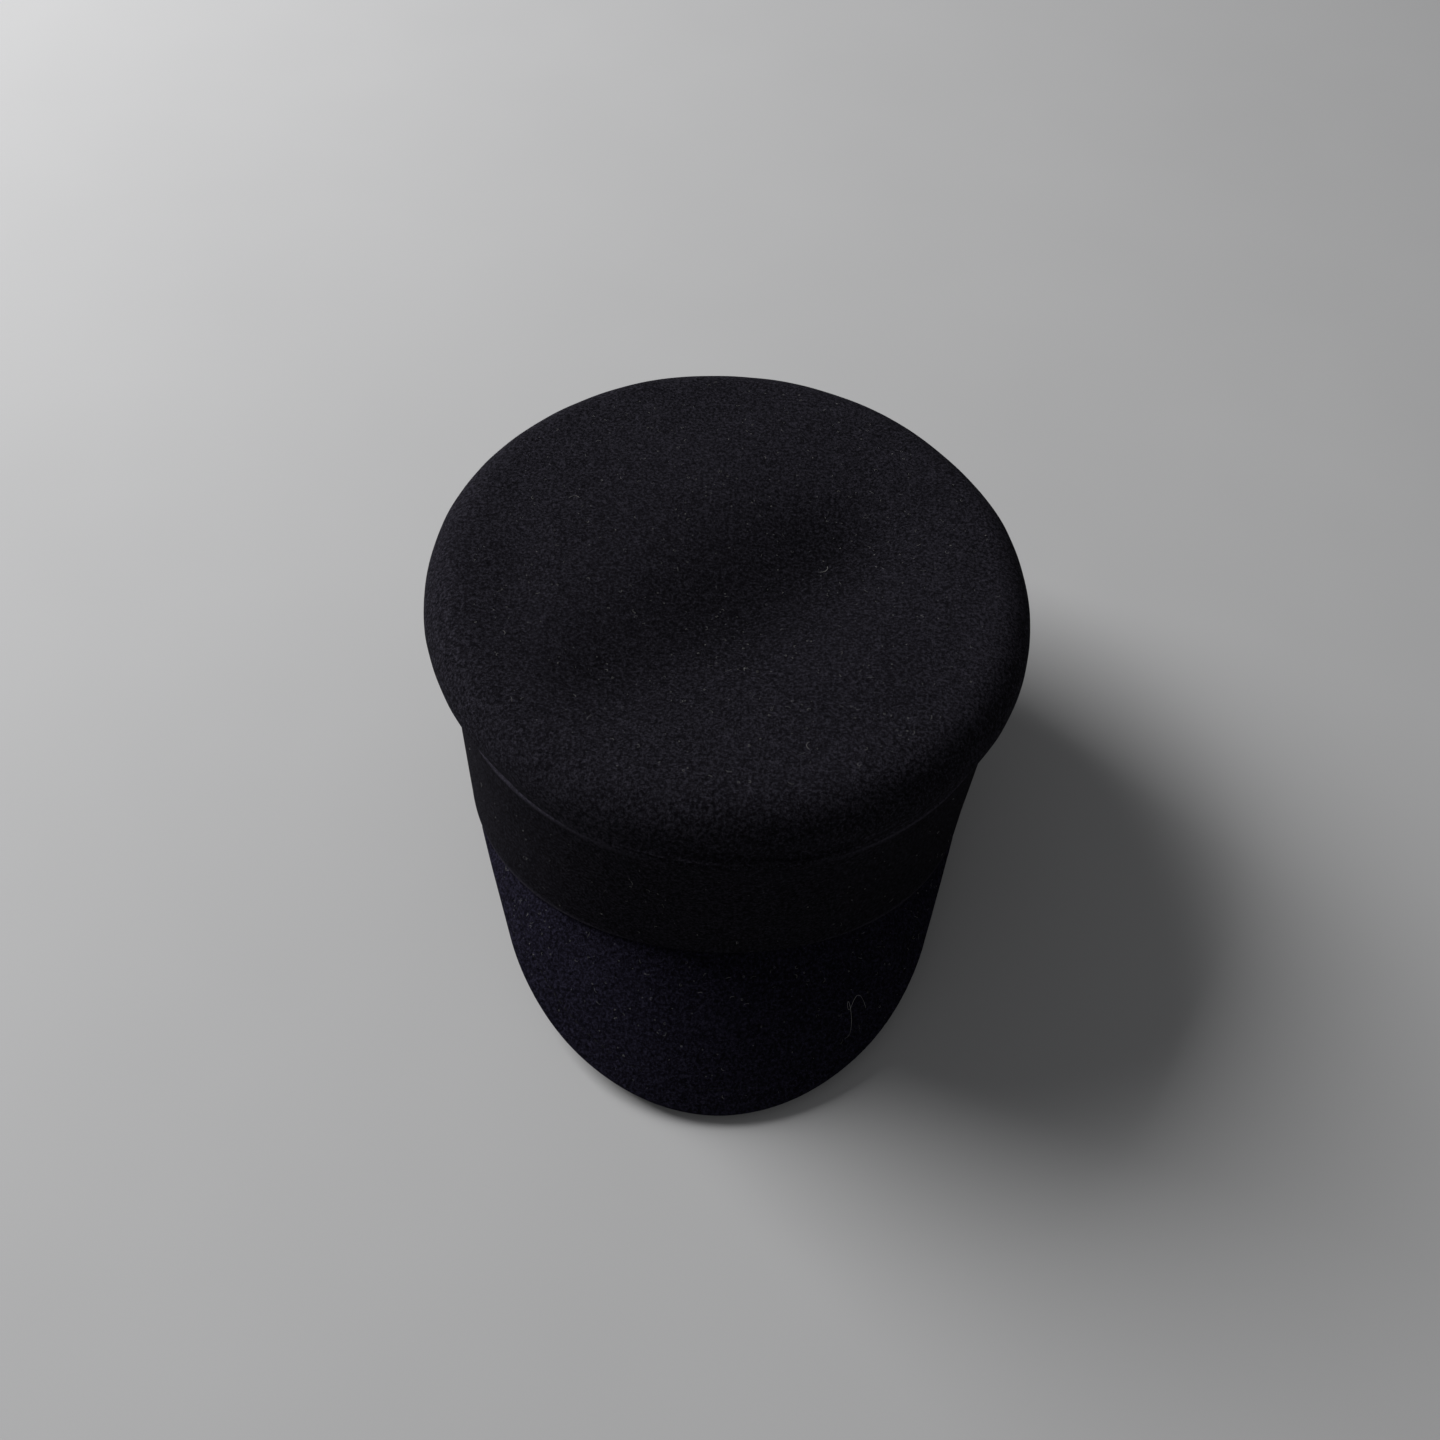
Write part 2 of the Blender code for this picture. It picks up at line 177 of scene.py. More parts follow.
def lip_plan(angle, inset, share=1.0):
    """Plan of the lip, inset from its edge and then drawn in to a share."""
    half_width, half_length = LIP_HALF_WIDTH - inset, LIP_HALF_LENGTH - inset
    return oval(half_width * share, half_length * share, LIP_CENTRE_Y, angle)


def girth(inset):
    """Length round the head opening, inset from the band's outer face."""
    return pi * (BASE_HALF_WIDTH + BASE_HALF_LENGTH - 2 * inset)


def rim_height(angle):
    """How far the band's lower edge rises in front."""
    return FRONT_RISE * np.clip(np.cos(angle), 0.0, None) ** 2


def crease_height(angle):
    """Height of the crease, which climbs towards the front."""
    y = CREASE_CENTRE_Y - CREASE_HALF_LENGTH * np.cos(angle)
    return CREASE_HEIGHT + CREASE_SLOPE * y


def wall(angle, height, inset):
    """Points of the side wall, at a height above the band's lower edge and inset from its face."""
    rise = crease_height(angle) - rim_height(angle)
    share = np.clip((height - BAND_HEM) / (rise - BAND_HEM), 0.0, 1.0)
    low = oval(BASE_HALF_WIDTH - inset, BASE_HALF_LENGTH - inset, 0.0, angle)
    high = crease_plan(angle, inset)
    return points(
        blend(low[0], high[0], share), blend(low[1], high[1], share), rim_height(angle) + height
    )


def outward(angle):
    """The wall's level outward direction."""
    across = points(np.sin(angle) / BASE_HALF_WIDTH, -np.cos(angle) / BASE_HALF_LENGTH, 0.0 * angle)
    return across / np.linalg.norm(across, axis=-1, keepdims=True)


def visor_face(side, out):
    """The visor's top face: side is -1 to 1 across it, out is 0 at its root and 1 at its edge.

    Beyond VISOR_CURVE_SHARE of each side, the free edge runs straight back to the band.
    """
    side = np.asarray(side, float)
    root = wall(side * VISOR_TIP_ANGLE, 0.0, NECK_INSET)
    start = wall(np.float64(VISOR_ROOT_ANGLE), 0.0, 0.0)
    turn = np.clip(side / VISOR_CURVE_SHARE, -1.0, 1.0) * VISOR_CURVE_END
    drop = np.cos(turn)
    edge = points(
        np.sign(side) * start[0] * np.abs(np.sin(turn)) ** VISOR_PLAN_POWER,
        start[1] - VISOR_REACH * drop**VISOR_PLAN_POWER,
        start[2] - VISOR_DROP * drop**VISOR_DROP_POWER,
    )
    tip = wall(np.sign(side) * VISOR_TIP_ANGLE, -0.0008, 0.0)
    straight = np.clip((np.abs(side) - VISOR_CURVE_SHARE) / (1.0 - VISOR_CURVE_SHARE), 0.0, 1.0)
    edge = blend(edge, tip, straight[..., None])
    share = np.asarray(out, float)[..., None]
    face = blend(root, edge, share)
    face[..., 2] += VISOR_CROWNING * 4.0 * out * (1.0 - out) * np.cos(side * pi / 2)
    return face


def visor_length(side):
    """How far the visor reaches from its root to its free edge."""
    reach = visor_face(side, 1.0 + 0.0 * side) - visor_face(side, 0.0 * side)
    return np.linalg.norm(reach, axis=-1)


def visor_normal(side, out):
    """The direction out of the visor's top face."""
    step = 0.01
    across = visor_face(side + step, out) - visor_face(side - step, out)
    along = visor_face(side, out) - visor_face(side, out - step)
    normal = np.cross(along, across)
    return normal / np.linalg.norm(normal, axis=-1, keepdims=True)


def rest_matrix():
    """Head frame to row frame, from the record's mount on the band's lower edge."""
    mount = next(m for m in frame["record"]["mounts"] if m["name"] == "band_rim")
    down = Vector(mount["axis"])
    turn = Matrix.Rotation(math.atan2(down.y, -down.z), 4, "X")
    rim = Vector(wall(np.radians(150.0), 0.0, BAND_THICKNESS / 2))
    return Matrix.Translation(Vector(mount["pos_m"]) - turn @ rim) @ turn


HEAD = rest_matrix()


def to_row(at):
    """Carries points from the head frame to the row frame."""
    matrix = np.array(HEAD)
    return np.asarray(at) @ matrix[:3, :3].T + matrix[:3, 3]


# ---- meshes

def add_object(name, data):
    """Adds an object to the scene."""
    made = bpy.data.objects.new(name, data)
    bpy.context.scene.collection.objects.link(made)
    return made


def make_piece(name, vertices, faces, material, body="cap", slot=None, replaces=()):
    """A smooth mesh piece in the row frame that rides on a body."""
    mesh = bpy.data.meshes.new(name)
    mesh.from_pydata(np.asarray(vertices).reshape(-1, 3).tolist(), [], faces)
    mesh.validate()
    mesh.shade_smooth()
    mesh.materials.append(material)
    piece = add_object(name, mesh)
    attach(piece, body)
    if replaces:
        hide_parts(*replaces)
    return piece


def grid_faces(rows, columns, closed=False, first=0):
    """Quads of a grid whose rows climb, facing outwards as the angle grows."""
    spans = columns if closed else columns - 1
    faces = []
    for r in range(rows - 1):
        low, high = first + r * columns, first + (r + 1) * columns
        for c in range(spans):
            after = (c + 1) % columns
            faces.append((low + c, low + after, high + after, high + c))
    return faces


def grid_normals(grid, closed, dome):
    """Outward unit normals of a grid, from the differences between its points."""
    if closed:
        across = np.roll(grid, -1, axis=1) - np.roll(grid, 1, axis=1)
    else:
        across = np.gradient(grid, axis=1)
    normal = np.cross(across, np.gradient(grid, axis=0))
    if dome:
        normal[-1] = normal[-2].mean(axis=0)
    return normal / np.linalg.norm(normal, axis=-1, keepdims=True)


def rounded_rim(outer, inner, beyond, rounding):
    """Rows of a rounded edge that goes from an outer row round to an inner one."""
    middle, half = (outer + inner) / 2, (outer - inner) / 2
    turns = np.linspace(0.0, pi, RIM_STEPS + 2)[1:-1]
    return [middle + half * math.cos(t) + beyond * rounding * math.sin(t) for t in turns]


def felt_shell(name, grid, thickness, material, closed=False, dome=False, rounding=0.0005, **kind):
    """One closed layer of cloth from its outer face, with rounded first and last rows.

    A dome's last row is drawn together in one point. The edges stay where the grid's rows put them.
    """
    grid = np.array(grid)
    rows, columns = grid.shape[:2]
    ends = (0,) if dome else (0, -1)
    for end in ends:
        step = grid[1 if end == 0 else -2] - grid[end]
        spacing = np.linalg.norm(step, axis=-1, keepdims=True)
        grid[end] = grid[end] + step / spacing * np.minimum(rounding, spacing * 0.8)
    inner = grid - grid_normals(grid, closed, dome) * thickness
    rims = []
    for end in ends:
        step = grid[end] - grid[1 if end == 0 else -2]
        spacing = np.linalg.norm(step, axis=-1, keepdims=True)
        soft = np.minimum(rounding, spacing * 4.0)
        rims.append(rounded_rim(grid[end], inner[end], step / spacing, soft))
    if dome:
        loop = list(inner[:-1][::-1]) + rims[0][::-1] + list(grid[:-1])
        faces = grid_faces(len(loop), columns, closed=True)
        first, last = len(loop) * columns, (len(loop) - 1) * columns
        centres = np.array([inner[-1].mean(axis=0), grid[-1].mean(axis=0)])
        faces += [((c + 1) % columns, c, first) for c in range(columns)]
        faces += [(last + c, last + (c + 1) % columns, first + 1) for c in range(columns)]
        vertices = np.concatenate([np.array(loop).reshape(-1, 3), centres])
        return make_piece(name, vertices, faces, material, **kind)
    loop = list(grid) + rims[1] + list(inner[::-1]) + rims[0][::-1]
    count = len(loop)
    faces = grid_faces(count, columns, closed)
    last = (count - 1) * columns
    for c in range(columns if closed else columns - 1):
        after = (c + 1) % columns
        faces.append((last + c, last + after, after, c))
    if not closed:
        turned = rows + len(rims[1])
        for column, order in ((0, 1), (columns - 1, -1)):
            at = [r * columns + column for r in range(count)]
            back = at[turned : turned + rows][::-1]
            caps = [(at[r], at[r + 1], back[r + 1], back[r]) for r in range(rows - 1)]
            caps.append(tuple(at[rows - 1 : turned + 1]))
            caps.append(tuple(at[turned + rows - 1 :] + at[:1]))
            faces += [cap[::order] for cap in caps]
    return make_piece(name, np.array(loop), faces, material, **kind)


def tubes(name, paths, radius, material, sides=6, **kind):
    """One piece of many short closed tubes, each along its own path and drawn in at its ends."""
    vertices, faces = [], []
    for path in paths:
        path = np.asarray(path)
        along = np.gradient(path, axis=0)
        along /= np.linalg.norm(along, axis=1, keepdims=True)
        helper = np.array([0.0, 0.0, 1.0]) if abs(along[0][2]) < 0.9 else np.array([1.0, 0.0, 0.0])
        across = np.cross(along, helper)
        across /= np.linalg.norm(across, axis=1, keepdims=True)
        over = np.cross(along, across)
        first, count = len(vertices), len(path)
        taper = np.full(count, radius)
        taper[[0, -1]] *= 0.45
        for i in range(count):
            for k in range(sides):
                turn = 2 * pi * k / sides
                spoke = math.cos(turn) * across[i] + math.sin(turn) * over[i]
                vertices.append(path[i] + taper[i] * spoke)
        faces += grid_faces(count, sides, closed=True, first=first)
        faces.append(tuple(first + k for k in reversed(range(sides))))
        faces.append(tuple(first + (count - 1) * sides + k for k in range(sides)))
    return make_piece(name, vertices, faces, material, **kind)


def stitch(start, end, lift, up):
    """One stitch: it rises out of the cloth at start, lies along it and dips in again at end."""
    share = np.linspace(0.0, 1.0, 5)[:, None]
    arch = lift * (np.sin(share * pi) ** 0.5)
    return blend(start, end, share) + up * (arch - THREAD_RADIUS)


def running_stitches(line, ups, length, pause):
    """Stitches of a length with pauses between, along a dense line with its outward directions."""
    line, ups = np.asarray(line), np.asarray(ups)
    along = np.concatenate([[0.0], np.cumsum(np.linalg.norm(np.diff(line, axis=0), axis=1))])

    def at(distance, values):
        return np.array([np.interp(distance, along, values[:, k]) for k in range(3)])

    starts = np.arange(pause, along[-1] - length, length + pause)
    lift = THREAD_RADIUS * 1.6
    return [
        stitch(at(s, line), at(s + length, line), lift, at(s + length / 2, ups)) for s in starts
    ]


# ---- materials

class Nodes:
    """A material's node tree with its Principled shader, and short ways to add nodes to it."""

    def __init__(self, name, colour, roughness, **sockets):
        self.material = bpy.data.materials.new(name)
        self.material.use_nodes = True
        self.tree = self.material.node_tree
        self.shader = self.tree.nodes["Principled BSDF"]
        self.material.diffuse_color = (*colour, 1.0)
        self.set(self.shader, "Base Color", (*colour, 1.0))
        self.set(self.shader, "Roughness", roughness)
        for socket, value in sockets.items():
            self.set(self.shader, socket.replace("_", " "), value)
        self.place = self.new("TexCoord").outputs["Object"]

    @staticmethod
    def set(node, socket, value):
        node.inputs[socket].default_value = value

    def new(self, kind):
        return self.tree.nodes.new("ShaderNode" + kind)

    def link(self, output, node, socket):
        self.tree.links.new(output, node.inputs[socket])

    def noise(self, scale, detail=4.0, roughness=0.6, distortion=0.0, place=None):
        node = self.new("TexNoise")
        self.set(node, "Scale", scale)
        self.set(node, "Detail", detail)
        self.set(node, "Roughness", roughness)
        self.set(node, "Distortion", distortion)
        self.link(place or self.place, node, "Vector")
        return node.outputs["Fac"]

    def wave(self, place, scale, direction):
        node = self.new("TexWave")
        node.bands_direction = direction
        self.set(node, "Scale", scale)
        self.link(place, node, "Vector")
        return node.outputs["Fac"]

    def stretch(self, scale):
        node = self.new("Mapping")
        self.set(node, "Scale", scale)
        self.link(self.place, node, "Vector")
        return node.outputs["Vector"]

    def attribute(self, name, output="Vector"):
        node = self.new("Attribute")
        node.attribute_name = name
        return node.outputs[output]

    def math(self, operation, first, second=0.0):
        node = self.new("Math")
        node.operation = operation
        for i, value in enumerate((first, second)):
            if isinstance(value, (int, float)):
                self.set(node, i, value)
            else:
                self.link(value, node, i)
        return node.outputs[0]

    def ramp(self, factor, low, high, from_min=0.0, from_max=1.0):
        """Maps a factor's range onto a range of numbers or colours."""
        spread = self.new("MapRange")
        self.set(spread, "From Min", from_min)
        self.set(spread, "From Max", from_max)
        self.link(factor, spread, "Value")
        if isinstance(low, (int, float)):
            self.set(spread, "To Min", low)
            self.set(spread, "To Max", high)
            return spread.outputs["Result"]
        return self.mix(spread.outputs["Result"], (*low, 1.0), (*high, 1.0))

    def mix(self, factor, first, second):
        node = self.new("Mix")
        node.data_type = "RGBA"
        self.link(factor, node, "Factor")
        for socket, value in (("A", first), ("B", second)):
            target = [s for s in node.inputs if s.name == socket and s.type == "RGBA"][0]
            if isinstance(value, tuple):
                target.default_value = value
            else:
                self.tree.links.new(value, target)
        return [s for s in node.outputs if s.type == "RGBA"][0]

    def bump(self, height, distance, strength=1.0, after=None):
        node = self.new("Bump")
        self.set(node, "Distance", distance)
        self.set(node, "Strength", strength)
        self.link(height, node, "Height")
        if after is not None:
            self.link(after, node, "Normal")
        return node.outputs["Normal"]

    def finish(self, colour=None, roughness=None, normal=None):
        ends = (colour, "Base Color"), (roughness, "Roughness"), (normal, "Normal")
        for output, socket in ends:
            if output is not None:
                self.link(output, self.shader, socket)
        return self.material


def felt_material(name, colour, nap):
    """Matt wool felt: tangled curly fibres over a fine grain, a cloudy nap and a faint sheen.

    The mesh attribute read below runs from -1, painted shade that darkens the nap, to 1, a painted
    highlight that turns the nap pale along an edge.
    FELT_TONES gives the grain's dark and light, its palest fibres and the painted highlight's tone.
    """
    dark, light, pale, painted_highlight_tone = ((*(share * part for part in colour), 1.0) for share in FELT_TONES)
    felt = Nodes(
        name,
        colour,
        0.95,
        Specular_IOR_Level=0.01,
        Sheen_Weight=nap,
        Sheen_Roughness=0.6,
        Sheen_Tint=(0.80, 0.80, 1.0, 1.0),
    )
    grain = felt.noise(1650.0, 3.0, 0.8, 0.6)
    clouds = felt.noise(42.0, 4.0, 0.6)
    tuft = felt.noise(1000.0, 3.0, 0.7)
    fibres = None
    for scale, width in ((800.0, 0.040), (1250.0, 0.055), (1850.0, 0.075)):
        ridge = felt.math("ABSOLUTE", felt.math("SUBTRACT", felt.noise(scale, 2.0, 0.5, 1.6), 0.5))
        strand = felt.ramp(ridge, 1.0, 0.0, 0.0, width)
        fibres = strand if fibres is None else felt.math("MAXIMUM", fibres, strand)
    caught = felt.math("MULTIPLY", fibres, felt.ramp(tuft, 0.0, 1.0, 0.42, 0.66))
    base = felt.mix(felt.ramp(grain, 0.0, 1.0, 0.38, 0.66), dark, light)
    painted_light = felt.attribute("painted_light", "Fac")
    # Painted shade: the attribute's negative part darkens the felt towards its dark tone.
    painted_shade = felt.math("MULTIPLY", painted_light, -1.0)
    clouds_and_painted_shade = felt.math("MAXIMUM", painted_shade, felt.ramp(clouds, 0.0, 0.40, 0.35, 0.68))
    # Painted highlight: the attribute's positive part paints the grain pale.
    painted_highlight = felt.ramp(painted_light, 0.0, 1.0)
    painted_highlight_share = felt.math("MULTIPLY", painted_highlight, felt.ramp(grain, 0.08, 1.0, 0.36, 0.62))
    shaded = felt.mix(painted_highlight_share, felt.mix(clouds_and_painted_shade, base, dark), painted_highlight_tone)
    # Fewer pale fibres show where the painted shade darkens the felt.
    lying = felt.math("MULTIPLY", caught, felt.ramp(painted_shade, 0.95, 0.45))
    colour = felt.mix(lying, shaded, pale)
    soft = felt.bump(clouds, 0.0007, 0.5)
    rough = felt.bump(grain, 0.00045, 0.9, soft)
    return felt.finish(colour, felt.ramp(grain, 0.86, 1.0), felt.bump(fibres, 0.00010, 0.8, rough))


def satin_material():
    """Black lining satin: a smooth face with fine warp threads and soft, broad creasing."""
    shine = {"Specular_IOR_Level": 0.55, "Sheen_Weight": 0.15, "Sheen_Roughness": 0.4}
    satin = Nodes("lining_satin", (0.020, 0.020, 0.023), 0.36, **shine)
    creases = satin.noise(38.0, 4.0, 0.55, 0.6)
    threads = satin.noise(900.0, 2.0, 0.5, place=satin.stretch((1.0, 1.0, 0.08)))
    colour = satin.ramp(creases, (0.014, 0.014, 0.017), (0.027, 0.027, 0.031), 0.3, 0.7)
    normal = satin.bump(threads, 0.00006, 0.7, satin.bump(creases, 0.0012, 0.6))
    return satin.finish(colour, satin.ramp(threads, 0.30, 0.46), normal)


def grosgrain_material():
    """Ribbed ribbon: its ribs follow the mesh's own length along the ribbon."""
    shine = {"Specular_IOR_Level": 0.35, "Sheen_Weight": 0.2}
    ribbon = Nodes("grosgrain_ribbon", (0.014, 0.014, 0.016), 0.7, **shine)
    ribs = ribbon.wave(ribbon.attribute("ribbon"), RIB_SCALE, "X")
    threads = ribbon.noise(2600.0, 2.0, 0.5)
    colour = ribbon.ramp(ribs, (0.008, 0.008, 0.010), (0.024, 0.024, 0.027))
    normal = ribbon.bump(threads, 0.00005, 0.5, ribbon.bump(ribs, 0.00028, 0.9))
    return ribbon.finish(colour, ribbon.ramp(threads, 0.6, 0.85), normal)


def thread_material(name, dark, light, shine):
    """Spun sewing thread."""
    thread = Nodes(name, light, 0.6, Specular_IOR_Level=shine, Sheen_Weight=0.02)
    ply = thread.noise(2400.0, 3.0, 0.6, 2.0)
    colour = thread.ramp(ply, dark, light, 0.3, 0.7)
    return thread.finish(colour, thread.ramp(ply, 0.5, 0.8), thread.bump(ply, 0.00008, 0.8))


def label_material(name, ground, line):
    """Woven tape: fine crossing threads."""
    tape = Nodes(name, ground, 0.55, Specular_IOR_Level=0.35, Sheen_Weight=0.2)
    place = tape.attribute("ribbon")
    warp = tape.wave(place, WEAVE_SCALE, "X")
    weft = tape.wave(place, WEAVE_SCALE, "Y")
    weave = tape.math("MULTIPLY", warp, weft)
    colour = tape.ramp(weave, line, ground)
    return tape.finish(colour, tape.ramp(weave, 0.5, 0.7), tape.bump(weave, 0.00008, 0.8))


def board_material():
    """Grey-brown fibre board of the visor's stiffener, hidden between the felts."""
    board = Nodes("stiffener_board", (0.25, 0.22, 0.18), 0.8)
    fibres = board.noise(600.0, 5.0, 0.6, 0.5)
    colour = board.ramp(fibres, (0.19, 0.165, 0.13), (0.29, 0.26, 0.21), 0.3, 0.7)
    return board.finish(colour, board.ramp(fibres, 0.7, 0.9), board.bump(fibres, 0.0001, 0.6))


def wire_material():
    """Drawn spring wire, hidden in the visor's edge."""
    wire = Nodes("drawn_wire", (0.45, 0.45, 0.46), 0.35, Metallic=1.0)
    marks = wire.noise(1200.0, 3.0, 0.6)
    colour = wire.ramp(marks, (0.36, 0.36, 0.37), (0.50, 0.50, 0.51), 0.3, 0.7)
    return wire.finish(colour, wire.ramp(marks, 0.25, 0.45), wire.bump(marks, 0.00003, 0.5))


def lint_material():
    """Pale wool and dust fibres caught in the nap."""
    lint = Nodes("pale_lint", (0.16, 0.16, 0.16), 0.8, Sheen_Weight=0.1)
    tone = lint.noise(130.0, 2.0)
    colour = lint.ramp(tone, (0.05, 0.05, 0.055), (0.28, 0.275, 0.27), 0.35, 0.65)
    return lint.finish(colour, lint.ramp(tone, 0.7, 0.9))


CROWN_FELT = felt_material("crown_felt", (0.0080, 0.0075, 0.0100), 0.008)
BAND_FELT = felt_material("band_felt", (0.0060, 0.0056, 0.0075), 0.005)
VISOR_FELT = felt_material("visor_felt", (0.0060, 0.0055, 0.0098), 0.005)
SATIN = satin_material()
GROSGRAIN = grosgrain_material()
BLACK_THREAD = thread_material("black_thread", (0.002, 0.002, 0.003), (0.006, 0.006, 0.008), 0.10)
GREY_THREAD = thread_material("grey_thread", (0.10, 0.10, 0.10), (0.22, 0.22, 0.21), 0.35)
LABEL_TAPE = label_material("label_tape", (0.62, 0.61, 0.58), (0.42, 0.41, 0.39))
LINT = lint_material()


def sewing(name, paths, **kind):
    """One piece of black stitches, from their paths in the head frame."""
    paths = [to_row(path) for path in paths]
    tubes(name, paths, THREAD_RADIUS, BLACK_THREAD, slot="thread", **kind)


def store_painted_light(piece, painted_light):
    """Stores a piece's painted light and shade, a function of its points in the head frame."""
    places = np.empty(len(piece.data.vertices) * 3)
    piece.data.vertices.foreach_get("co", places)
    matrix = np.array(HEAD)
    upright = (places.reshape(-1, 3) - matrix[:3, 3]) @ matrix[:3, :3]
    store = piece.data.attributes.new("painted_light", "FLOAT", "POINT")
    store.data.foreach_set("value", painted_light(upright).astype(np.float32))


# ---- crown

def top_dents(at):
    """How far the top has sunk: a long soft dent, deeper at both ends, and a dip by the rim."""
    long_way = Vector((0.72, 0.69))
    x, y = at[..., 0] - 0.004, at[..., 1] + 0.010
    along = x * long_way.x + y * long_way.y
    across = y * long_way.x - x * long_way.y
    sunk = 0.0074 * np.exp(-((along / 0.058) ** 2) - (across / 0.029) ** 2)
    for centre_x, centre_y, depth, width in (
        (-0.040, -0.046, 0.0026, 0.018),
        (0.036, 0.016, 0.0024, 0.019),
    ):
        away = ((at[..., 0] - centre_x) ** 2 + (at[..., 1] - centre_y) ** 2) / width**2
        sunk = sunk + depth * np.exp(-away)
    side_dip = 0.0016 * hump(at[..., 0], -0.069, 0.010) * hump(at[..., 1], -0.012, 0.034)
    return sunk + side_dip


def build_crown():
    """Blocked felt: the neck, the flare under the lip, the roll and the dented top."""
    angle = np.linspace(-pi, pi, 241)[:-1]
    front = 1.0 - smooth(radians(68.0), radians(86.0), np.abs(angle))
    bottom = blend(NECK_BOTTOM_BACK, NECK_BOTTOM_FRONT, front)
    top = crease_height(angle) + GAP - rim_height(angle)
    climbs = np.linspace(0.0, 1.0, 9)
    neck = [wall(angle, blend(bottom, top, share), NECK_INSET) for share in climbs]

    crease = points(*crease_plan(angle, NECK_INSET), 0.0)
    lip = points(*lip_plan(angle, 0.0), 0.0)
    over_band = points(*crease_plan(angle, -0.0002), 0.0)
    resting = 1.0 - smooth(radians(40.0), radians(66.0), np.abs(angle))
    flare = []
    for share in np.linspace(0.0, 1.0, 17)[1:] ** 1.15:
        turn = share * pi / 2
        settled = (resting * smooth(0.0, 0.07, share))[:, None]
        row = blend(blend(crease, over_band, settled), lip, math.sin(turn) ** (1.0 + settled))
        climb = blend(1.0 - math.cos(turn), math.sin(turn), 0.22 * smooth(0.0, 0.3, share))
        gap = blend(GAP, 0.00006, settled[:, 0])
        row[:, 2] = blend(crease_height(angle) + gap, LIP_HEIGHT, climb)
        flare.append(row)

    for share in np.linspace(0.0, 1.0, 15)[1:]:
        turn = share * pi / 2
        inset = LIP_ROLL * (1.0 - math.cos(turn))
        row = points(*lip_plan(angle, inset), LIP_HEIGHT + LIP_ROLL * math.sin(turn))
        row[:, 2] -= top_dents(row) * smooth(0.3, 1.0, share)
        flare.append(row)

    top_rows = []
    for share in np.linspace(1.0, 0.0, 37)[1:]:
        row = points(*lip_plan(angle, LIP_ROLL, share), LIP_HEIGHT + LIP_ROLL)
        row[:, 2] -= top_dents(row)
        top_rows.append(row)

    grid = np.array(neck + flare + top_rows)
    handling = 0.00045 * waves(grid, 0.034, 3.1) + 0.00016 * waves(grid, 0.011, 7.7)
    free = smooth(len(neck) + 4, len(neck) + 16, np.arange(len(grid)))[:, None]
    inward = grid - np.array([0.0, LIP_CENTRE_Y, LIP_HEIGHT * 0.6])
    inward /= np.linalg.norm(inward, axis=-1, keepdims=True)
    grid = grid + inward * (handling * free)[..., None]
    crown = felt_shell(
        "felt_crown", to_row(grid), CROWN_THICKNESS, CROWN_FELT,
        closed=True, dome=True, slot="black_felt", replaces=("crown",),
    )
    # Painted shade: the felt is darkened in the top's dents, most where they sink deepest.
    store_painted_light(crown, lambda at: -np.clip(top_dents(at) / 0.0085, 0.0, 0.90))


# ---- band

def band_edge_free(angle):
    """0 in front, where the crown rests on the band's top edge, and 1 where it stands free."""
    return smooth(radians(22.0), radians(52.0), np.abs(angle))


def build_band():
    """The side band: a strip of felt with soft cut edges, butted and sewn at the back."""
    angle = np.linspace(-BUTT_REACH, BUTT_REACH, 257)
    rise = crease_height(angle) - rim_height(angle)
    edge = np.array([0.0, 0.0006, 0.0012, 0.0018, 0.0030, 0.0045])
    heights = [height + 0.0 * rise for height in edge]
    heights += [blend(0.0060, rise - 0.0060, share) for share in np.linspace(0.0, 1.0, 20)]
    heights += [rise - height for height in edge[::-1]]
    grid = np.array([wall(angle, height, 0.0) for height in heights])
    below = rise - np.array(heights)
    inner = smooth(0.0, 0.010, below) * smooth(0.0, 0.010, np.array(heights))
    ripple = 0.00022 * waves(grid, 0.026, 11.3) * inner
    leaning = 0.0010 * (1.0 - smooth(0.0, 0.0045, below)) * band_edge_free(angle)
    grid = grid + outward(angle)[None] * (ripple + leaning)[..., None]
    band = felt_shell(
        "felt_side_band", to_row(grid), BAND_THICKNESS, BAND_FELT,
        rounding=0.00035, slot="black_felt", replaces=("side_band",),
    )

    def painted_edge_highlight(at):
        """Painted highlight on the band's cut edges, none where the crown rests on it in front."""
        around = np.arctan2(at[:, 0], -at[:, 1])
        free = smooth(radians(8.0), radians(34.0), np.abs(around))
        free = free * (1.0 - 0.6 * smooth(radians(60.0), radians(90.0), np.abs(around)))
        above = at[:, 2] - rim_height(around)
        below = crease_height(around) - rim_height(around) - above
        top = 1.0 - smooth(0.0013, 0.0030, below)
        return np.maximum(top, 0.6 * (1.0 - smooth(0.0003, 0.0014, above))) * free

    # Painted highlight along the band's top and lower cut edges.
    store_painted_light(band, painted_edge_highlight)


def build_band_seam():
    """Small crossed stitches that close the band's butt joint."""
    pitch, half = 0.0030, 0.0016
    top = float(crease_height(BACK)) - 0.0025
    up = outward(np.array([BACK]))[0]
    paths = []
    for height in np.arange(0.0030, top - pitch, pitch):
        low = wall(np.float64(BACK), height, 0.0)
        high = wall(np.float64(BACK), height + pitch * 0.8, 0.0)
        for lean in (-1.0, 1.0):
            sideways = np.array([half * lean, 0.0, 0.0])
            lift = THREAD_RADIUS * (1.6 + 0.8 * (lean > 0))
            paths.append(stitch(low - sideways, high + sideways, lift, up))
    sewing("band_seam_stitches", paths, replaces=("band_seam_thread",))


# ---- visor

